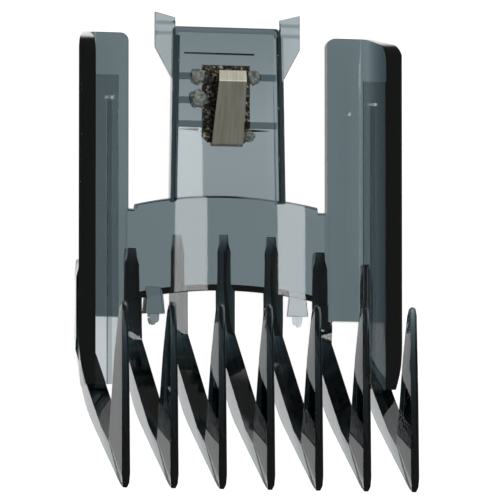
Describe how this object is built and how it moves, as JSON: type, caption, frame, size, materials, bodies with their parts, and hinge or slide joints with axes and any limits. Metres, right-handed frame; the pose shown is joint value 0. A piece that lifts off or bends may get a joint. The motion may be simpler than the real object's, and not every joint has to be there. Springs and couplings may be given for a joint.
{
  "type": "clipper guide comb",
  "caption": "Clear smoke-grey adjustable guide comb for a hair clipper: side arms with guide rails, curved band, V-shaped teeth and a sprung detent tongue.",
  "frame": {"origin": "centre of the bounding box at the level of the ribs on the back, on which the comb lies", "axes": "+Y along the comb from the tooth bottoms to the ears, +Z from the back towards the side that faces the clipper, +X to the right seen from that side"},
  "size_m": [0.0512, 0.075, 0.0306],
  "materials": {
    "smoke_plastic": "clear smoke-grey moulded plastic, glossy",
    "spring_steel": "stained spring strip, satin"
  },
  "bodies": {
    "comb": {"rear_band": "smoke_plastic", "left_arm": "smoke_plastic", "right_arm": "smoke_plastic", "left_guide_rail": "smoke_plastic", "right_guide_rail": "smoke_plastic", "tongue": "smoke_plastic", "left_ear": "smoke_plastic", "right_ear": "smoke_plastic", "top_left_rib": "smoke_plastic", "top_right_rib": "smoke_plastic", "middle_left_rib": "smoke_plastic", "low_left_rib": "smoke_plastic", "low_right_rib": "smoke_plastic", "top_left_stake": "smoke_plastic", "side_left_stake": "smoke_plastic", "top_right_stake": "smoke_plastic", "low_right_stake": "smoke_plastic", "left_gate_tab": "smoke_plastic", "right_gate_tab": "smoke_plastic", "tooth_1": "smoke_plastic", "tooth_2": "smoke_plastic", "tooth_3": "smoke_plastic", "tooth_4": "smoke_plastic", "tooth_5": "smoke_plastic", "tooth_6": "smoke_plastic", "tooth_7": "smoke_plastic", "spring_base": "spring_steel"},
    "leaf": {"spring_leaf": "spring_steel"}
  },
  "joints": [
    {"name": "leaf_flex", "type": "hinge", "parent": "comb", "child": "leaf", "pos_m": [0, 0.0176, 0.0043], "axis": [-1, 0, 0], "range_deg": [0, 14], "stiffness_Nm_per_rad": 0.1}
  ]
}
